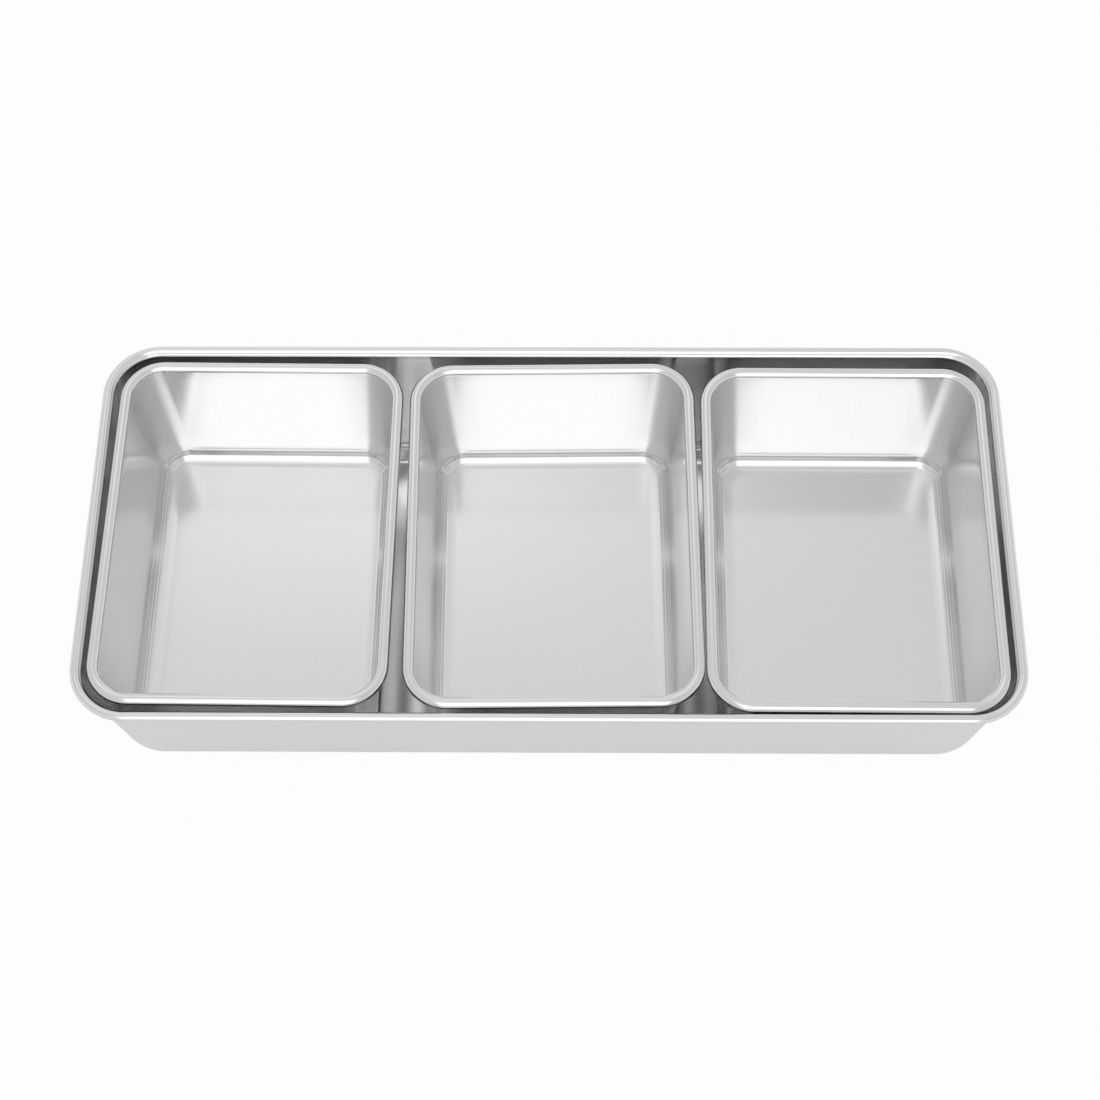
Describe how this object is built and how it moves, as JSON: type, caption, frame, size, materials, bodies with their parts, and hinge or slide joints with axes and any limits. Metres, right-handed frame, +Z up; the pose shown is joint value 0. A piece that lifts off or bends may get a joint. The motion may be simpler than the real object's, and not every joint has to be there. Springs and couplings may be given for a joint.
{
  "type": "condiment holder",
  "caption": "Long rectangular tray of drawn stainless steel with a rolled rim, holding loose deep rectangular inner pans side by side for toppings and condiments.",
  "frame": {"origin": "centre of the tray's underside, on the surface it stands on", "axes": "+X along the tray's length, +Y towards its back long side, +Z up"},
  "size_m": [0.3, 0.1376, 0.0505],
  "materials": {
    "tray_steel": "satin drawn stainless sheet, rolled rim polished",
    "pan_steel": "satin drawn stainless sheet, a little brighter than the tray, rolled rim polished"
  },
  "bodies": {
    "tray": {"outer_tray": "tray_steel"},
    "pan_left": {"inner_pan_left": "pan_steel"},
    "pan_middle": {"inner_pan_middle": "pan_steel"},
    "pan_right": {"inner_pan_right": "pan_steel"}
  },
  "joints": [
    {"name": "lift_left", "type": "slide", "parent": "tray", "child": "pan_left", "axis": [0, 0, 1], "range_m": [0, 0.055]},
    {"name": "lift_middle", "type": "slide", "parent": "tray", "child": "pan_middle", "axis": [0, 0, 1], "range_m": [0, 0.055]},
    {"name": "lift_right", "type": "slide", "parent": "tray", "child": "pan_right", "axis": [0, 0, 1], "range_m": [0, 0.055]}
  ]
}
